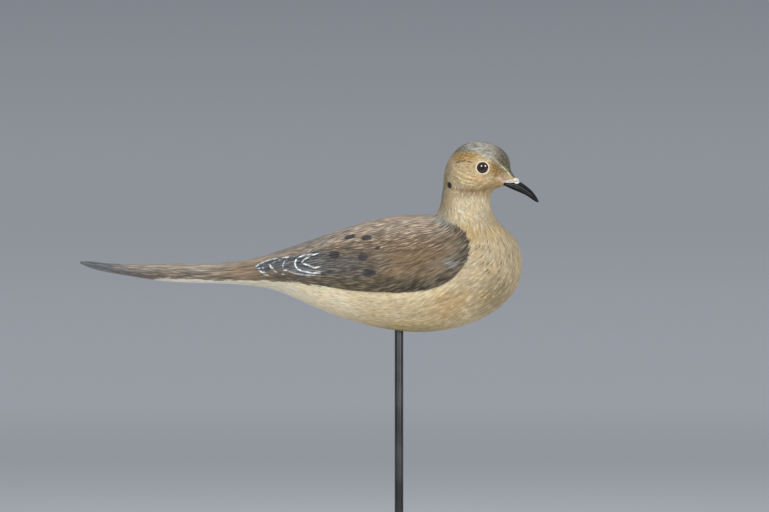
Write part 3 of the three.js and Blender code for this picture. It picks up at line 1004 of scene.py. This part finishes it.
def sink_eye_bed(rows, side):
    """Presses the skin down behind an eye, out of the way of the glass."""
    centre, look, _, _ = eye_axes(side)
    offset = rows - np.array(centre)
    height = offset @ np.array(look)
    radius = np.linalg.norm(offset - height[:, None] * np.array(look), axis=1)
    hold = smoothstep(radius, EYE_RADIUS + 0.1 * MM, EYE_RADIUS + 0.5 * MM)
    drop = np.maximum(height + LID_DEPTH, 0) * (1 - hold)
    rows -= drop[:, None] * np.array(look)[None, :]


def eyelid_shell(side, tree):
    """The cream ring round an eye: a soft ridge from the glass down to the skin."""
    centre, look, level, upright = eye_axes(side)
    rings = []
    for i in range(LID_SIDES):
        turn = 2 * math.pi * i / LID_SIDES
        across = level * math.cos(turn) + upright * math.sin(turn)
        radius_in, radius_out = (
            1 / math.hypot(math.cos(turn) / length, math.sin(turn) / height)
            for length, height in (LID_INNER, LID_OUTER)
        )
        hit = tree.ray_cast(centre + across * radius_out + look * (10 * MM), -look)[0]
        skin_height = (hit - centre).dot(look)
        height_in = dome_height(radius_in) + LID_OVER_GLASS
        row = []
        for t in LID_RIDGE:
            radius = radius_in + (radius_out - radius_in) * t
            base = height_in + (skin_height - LID_SUNK - height_in) * t
            swell = LID_SWELL * math.sin(math.pi * min(1, t * 1.08)) ** 0.8 if t < 0.925 else 0
            row.append(centre + across * radius + look * (base + swell))
        row.append(centre + across * radius_out + look * (skin_height - LID_ROOT))
        row.append(centre + across * radius_in - look * LID_DEPTH)
        rings.append([list(p) for p in row])
    rings = np.array(rings)
    count = rings.shape[1]
    tube = ring_faces(LID_SIDES + 1, count, capped=False)
    faces = [tuple(k % (LID_SIDES * count) for k in (a, d, c, b)) for a, b, c, d in tube]
    return Shell(rings, faces, 1)


def bill_shell():
    """The bill with the line between its halves and a shallow groove along its upper half."""
    spans = [BILL_SPACING] * (len(BILL_SECTIONS) - 1)
    points, at, knots, angle = loft(BILL_SECTIONS, spans, BILL_SIDES)
    share = np.ones((len(at), 1))
    view = side_view(points, share)
    length = (at / knots[-1])[:, None]
    height = np.cos(angle)[None, :]
    gap = hollow(height - (0.02 - 0.25 * length), 0.09) * smoothstep(1 - length, 0.1, 0.3)
    groove = hollow(height - 0.62, 0.2) * smoothstep(1 - length, 0.3, 0.6)
    relief = -(BILL_INSET + BILL_LINE * gap + BILL_GROOVE * groove) * MM / UNIT
    skin = placed(points + outward(points) * relief[..., None], share)
    return Shell(with_middles(skin), ring_faces(len(at), BILL_SIDES), 0, view=with_middles(view))


# The glass eye: points round it, rings on its dome, the next ring's depth below the rim, and the turn past
# which an edge of it is sharp
EYE_SIDES = 72
EYE_RINGS = 20
EYE_RIM = 0.3 * MM
EYE_SHARP = math.radians(40)


def eye_shell(side):
    """A glass eye: its dome and the straight side that sits in the head."""
    centre, look, level, upright = eye_axes(side)
    profile = [(EYE_RADIUS, -EYE_SEAT), (EYE_RADIUS, -EYE_RIM)]
    for k in range(EYE_RINGS, 0, -1):
        radius = EYE_RADIUS * math.sin(math.pi / 2 * k / EYE_RINGS)
        profile.append((radius, dome_height(radius)))
    glass = with_middles(turned_rings(profile, EYE_SIDES))
    glass[-1] = 0, 0, EYE_BULGE
    faces = [face[::-1] for face in ring_faces(len(profile), EYE_SIDES)]
    out = np.hypot(glass[:, :1], glass[:, 1:2]) / EYE_RADIUS
    points = glass @ np.array([level, upright, look]) + np.array(centre)
    return Shell(points, faces, from_middle=out)


# Edges of the stand that turn by more than this are softened and shaded as edges
SHARP = math.radians(30)


def grown_mesh(name, sizes, build, material, soft_edge):
    """A plain mesh from a Geometry Nodes tree that has a named input for each size, with softened edges."""
    tree = bpy.data.node_groups.new(name, "GeometryNodeTree")
    for size in sizes:
        tree.interface.new_socket(size, in_out="INPUT", socket_type="NodeSocketFloat")
    tree.interface.new_socket("Geometry", in_out="OUTPUT", socket_type="NodeSocketGeometry")
    given = tree.nodes.new("NodeGroupInput")
    start = Wire(tree)
    shape = build(start, *[Wire(tree, given.outputs[size]) for size in sizes])
    shape = start.node("GeometryNodeRealizeInstances", None, {"Geometry": shape})
    shape = start.node("GeometryNodeSetMaterial", None, {"Geometry": shape, "Material": material})
    result = tree.nodes.new("NodeGroupOutput")
    tree.links.new(shape.socket, result.inputs["Geometry"])

    piece = bpy.data.objects.new(name, bpy.data.meshes.new(name))
    bpy.context.scene.collection.objects.link(piece)
    modifier = piece.modifiers.new("shape", "NODES")
    modifier.node_group = tree
    for socket in tree.interface.items_tree:
        if socket.in_out == "INPUT":
            modifier[socket.identifier] = sizes[socket.name]
    edges = piece.modifiers.new("soft_edges", "BEVEL")
    edges.width = soft_edge
    edges.segments = 3
    edges.limit_method = "ANGLE"
    edges.angle_limit = SHARP
    evaluated = piece.evaluated_get(bpy.context.evaluated_depsgraph_get())
    mesh = bpy.data.meshes.new_from_object(evaluated)
    piece.modifiers.clear()
    piece.data = mesh
    mesh.shade_smooth()
    mesh.set_sharp_from_angle(angle=SHARP)
    return piece


def rod_nodes(start, radius, low, high):
    """A round bar swept up the axis between two heights."""
    foot = start.node("ShaderNodeCombineXYZ", None, {"Z": low})
    top = start.node("ShaderNodeCombineXYZ", None, {"Z": high})
    axis = start.node("GeometryNodeCurvePrimitiveLine", None, {"Start": foot, "End": top})
    ring = start.node("GeometryNodeCurvePrimitiveCircle", None, {"Resolution": 96, "Radius": radius})
    sweep = {"Curve": axis, "Profile Curve": ring, "Fill Caps": True}
    return start.node("GeometryNodeCurveToMesh", None, sweep)


def foot_nodes(start, radius, height, chamfer, hole_radius, hole_depth):
    """A turned plate: a disc, its upper edge chamfered, and a blind hole let down into its middle."""
    disc = {"Vertices": 160, "Radius": radius, "Depth": height - chamfer}
    plate = start.node("GeometryNodeMeshCylinder", None, disc)
    top = plate.sibling("Top")
    middle = start.node("ShaderNodeCombineXYZ", None, {"Z": (height - chamfer) * 0.5})
    plate = start.node("GeometryNodeTransform", None, {"Geometry": plate, "Translation": middle})
    rim = radius - chamfer
    for rise, narrowing in ((chamfer, rim / radius), (0.0, hole_radius / rim), (hole_depth * -1.0, 1.0)):
        raised = {
            "Mesh": plate,
            "Selection": top,
            "Offset": (0, 0, 1),
            "Offset Scale": rise,
            "Individual": False,
        }
        plate = start.node("GeometryNodeExtrudeMesh", None, raised)
        top = plate.sibling("Top")
        narrowed = {"Geometry": plate, "Selection": top, "Scale": narrowing}
        plate = start.node("GeometryNodeScaleElements", None, narrowed)
    return plate


def add_bird():
    materials = [bird_material(), eyelid_material()]
    bird = make_piece("painted_bird", bird_shells(), materials)
    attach(bird, "root")
    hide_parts("bird_carving")


def add_bill():
    bill = make_piece("dark_bill", [bill_shell()], [bill_material()])
    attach(bill, "root")
    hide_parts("bill")


def add_eyes():
    glass = eye_material()
    eyes = []
    for side, node in ((-1, "eye_right"), (1, "eye_left")):
        eye = make_piece("glass_" + node, [eye_shell(side)], [glass], smooth_angle=EYE_SHARP)
        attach(eye, "root")
        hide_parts(node)
        eyes.append(eye)
    return eyes


# The stand: the gap round the rod in its hole, the foot's chamfer and turning marks, and the softened edges
ROD_GAP = 0.3 * MM
CHAMFER = 1.5 * MM
TURNING_MARKS = 0.9 * MM
ROD_EDGE = 0.3 * MM
FOOT_EDGE = 0.5 * MM


def add_stand():
    rod_low, rod_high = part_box("stand_rod")
    rod_sizes = {"Radius": (rod_high.x - rod_low.x) / 2, "Low": rod_low.z, "High": rod_high.z}
    rod = grown_mesh("steel_rod", rod_sizes, rod_nodes, steel_material("drawn_steel", 0), ROD_EDGE)
    foot_low, foot_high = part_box("stand_foot")
    foot_sizes = {
        "Radius": (foot_high.x - foot_low.x) / 2,
        "Height": foot_high.z,
        "Chamfer": CHAMFER,
        "Hole Radius": rod_sizes["Radius"] + ROD_GAP,
        "Hole Depth": foot_high.z - rod_low.z + ROD_GAP,
    }
    turned = steel_material("turned_steel", TURNING_MARKS)
    foot = grown_mesh("steel_foot", foot_sizes, foot_nodes, turned, FOOT_EDGE)
    for piece, node in ((rod, "stand_rod"), (foot, "stand_foot")):
        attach(piece, "root")
        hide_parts(node)


# The stage, in metres: a round floor, the bend at its edge and the wall's top, and the points round it
FLOOR_RADIUS = 6
STAGE_BEND = 2.5
WALL_TOP = 7
STAGE_SIDES = 128
# Its greys: the floor's middle and its outer part, and the wall's foot and its upper part; the grading is
# painted light and shade
FLOOR_MIDDLE = srgb(204, 206, 213)
FLOOR_EDGE = srgb(221, 223, 230)
WALL_FOOT = srgb(207, 209, 216)
WALL_UPPER = srgb(184, 187, 195)


def add_stage():
    """A round floor that rises in one curve to an upright wall, well outside every camera."""
    profile = [(r, 0) for r in np.linspace(0.3, FLOOR_RADIUS, 8)]
    for turn in np.linspace(0, math.pi / 2, 25)[1:]:
        profile.append((FLOOR_RADIUS + STAGE_BEND * math.sin(turn), STAGE_BEND * (1 - math.cos(turn))))
    profile.append((FLOOR_RADIUS + STAGE_BEND, WALL_TOP))
    faces = ring_faces(len(profile), STAGE_SIDES, capped=False)
    middle = len(profile) * STAGE_SIDES
    faces += [(middle, k, (k + 1) % STAGE_SIDES) for k in range(STAGE_SIDES)]
    rows = np.concatenate([turned_rings(profile, STAGE_SIDES).reshape(-1, 3), [(0, 0, 0)]])
    material, start = new_material("pale_grey_stage", Roughness=0.9, Specular_IOR_Level=0.1)
    place = start.place()
    height = place.part(2)
    # Painted light and shade: lighter outward over the floor, darker up the wall
    colour = place.radius().over(1.5, 4.5).mix(FLOOR_MIDDLE, FLOOR_EDGE)
    colour = height.over(0.0, 0.3).mix(colour, WALL_FOOT)
    colour = height.over(0.3, 0.85).mix(colour, WALL_UPPER)
    finish_with(material, Base_Color=colour)
    stage = make_piece("stage", [Shell(rows, faces)], [material])
    stage.visible_diffuse = False
    stage.visible_glossy = False


# The softboxes: name, azimuth from the camera's axis and elevation in degrees, distance and size in metres,
# and power in watts
SOFTBOXES = [
    ("softbox_left", -27, 16, 1.8, 0.42, 2.35),
    ("softbox_right", 33, 10, 1.8, 0.42, 2.55),
    ("top_softbox", 10, 75, 1.9, 1.4, 1.55),
]
# The lights that only the glass eyes see, two on each side: their azimuths, and the elevation, distance,
# size and power of each
EYE_LIGHT_AZIMUTHS = {"near_left": -27, "near_right": 33, "far_left": -153, "far_right": 147}
EYE_LIGHT = (26, 1.8, 0.6, 4.9)
LIGHT_TARGET = Vector((0, 0, 0.2))
LIGHT_SPREAD = math.radians(80)
# The light that the room sends back, from the pale floor below and from the walls and ceiling
FLOOR_LIGHT = (0.80, 0.80, 0.78, 1)
WALL_LIGHT = (0.46, 0.48, 0.50, 1)


def add_light(name, azimuth, elevation, distance, size, power):
    """A square softbox that faces the bird."""
    data = bpy.data.lights.new(name, "AREA")
    data.shape = "SQUARE"
    data.size = size
    data.energy = power
    data.spread = LIGHT_SPREAD
    light = bpy.data.objects.new(name, data)
    turn, rise = math.radians(azimuth), math.radians(elevation)
    away = Vector((math.sin(turn) * math.cos(rise), -math.cos(turn) * math.cos(rise), math.sin(rise)))
    light.location = LIGHT_TARGET + away * distance
    light.rotation_euler = away.to_track_quat("Z", "Y").to_euler()
    light.visible_camera = False
    bpy.context.scene.collection.objects.link(light)
    return light


def light_only(lights, pieces, state):
    """Lets the lights reach these pieces alone, with INCLUDE, or every piece but these, with EXCLUDE."""
    receivers = bpy.data.collections.new("light_" + state.lower())
    for piece in pieces:
        receivers.objects.link(piece)
    for entry in receivers.collection_objects:
        entry.light_linking.link_state = state
    for light in lights:
        light.light_linking.receiver_collection = receivers


def add_lights(eyes):
    light_only([add_light(*values) for values in SOFTBOXES], eyes, "EXCLUDE")
    glints = [add_light("eye_light_" + name, at, *EYE_LIGHT) for name, at in EYE_LIGHT_AZIMUTHS.items()]
    light_only(glints, eyes, "INCLUDE")
    world = bpy.data.worlds.new("studio")
    world.use_nodes = True
    background = world.node_tree.nodes["Background"]
    rise = Wire(world.node_tree).node("ShaderNodeTexCoord").part(2)
    room = rise.over(-0.75, 0.1).mix(FLOOR_LIGHT, WALL_LIGHT)
    world.node_tree.links.new(room.socket, background.inputs["Color"])
    bpy.context.scene.world = world


# The photograph's size and where the rod's axis and the belly's lowest point lie in it, in pixels, and the
# camera's focal length and film width in millimetres
PHOTO_WIDTH = 769
PHOTO_HEIGHT = 512
ROD_PIXEL = 399
BELLY_PIXEL = 332
LENS = 280
FILM_WIDTH = 36


def add_camera():
    """A long lens level with the bird, one grid unit to a pixel."""
    data = bpy.data.cameras.new("camera")
    data.lens = LENS
    data.sensor_width = FILM_WIDTH
    data.clip_end = 50
    camera = bpy.data.objects.new("camera", data)
    x = (PHOTO_WIDTH / 2 - ROD_PIXEL) * UNIT
    z = BELLY_HEIGHT + (BELLY_PIXEL - PHOTO_HEIGHT / 2) * UNIT
    camera.location = (x, -PHOTO_WIDTH * UNIT * LENS / FILM_WIDTH, z)
    camera.rotation_euler = (math.pi / 2, 0, 0)
    bpy.context.scene.collection.objects.link(camera)
    bpy.context.scene.camera = camera


add_bird()
add_bill()
glass_eyes = add_eyes()
add_stand()
add_stage()
add_lights(glass_eyes)
add_camera()
bpy.context.scene.view_settings.view_transform = "Standard"
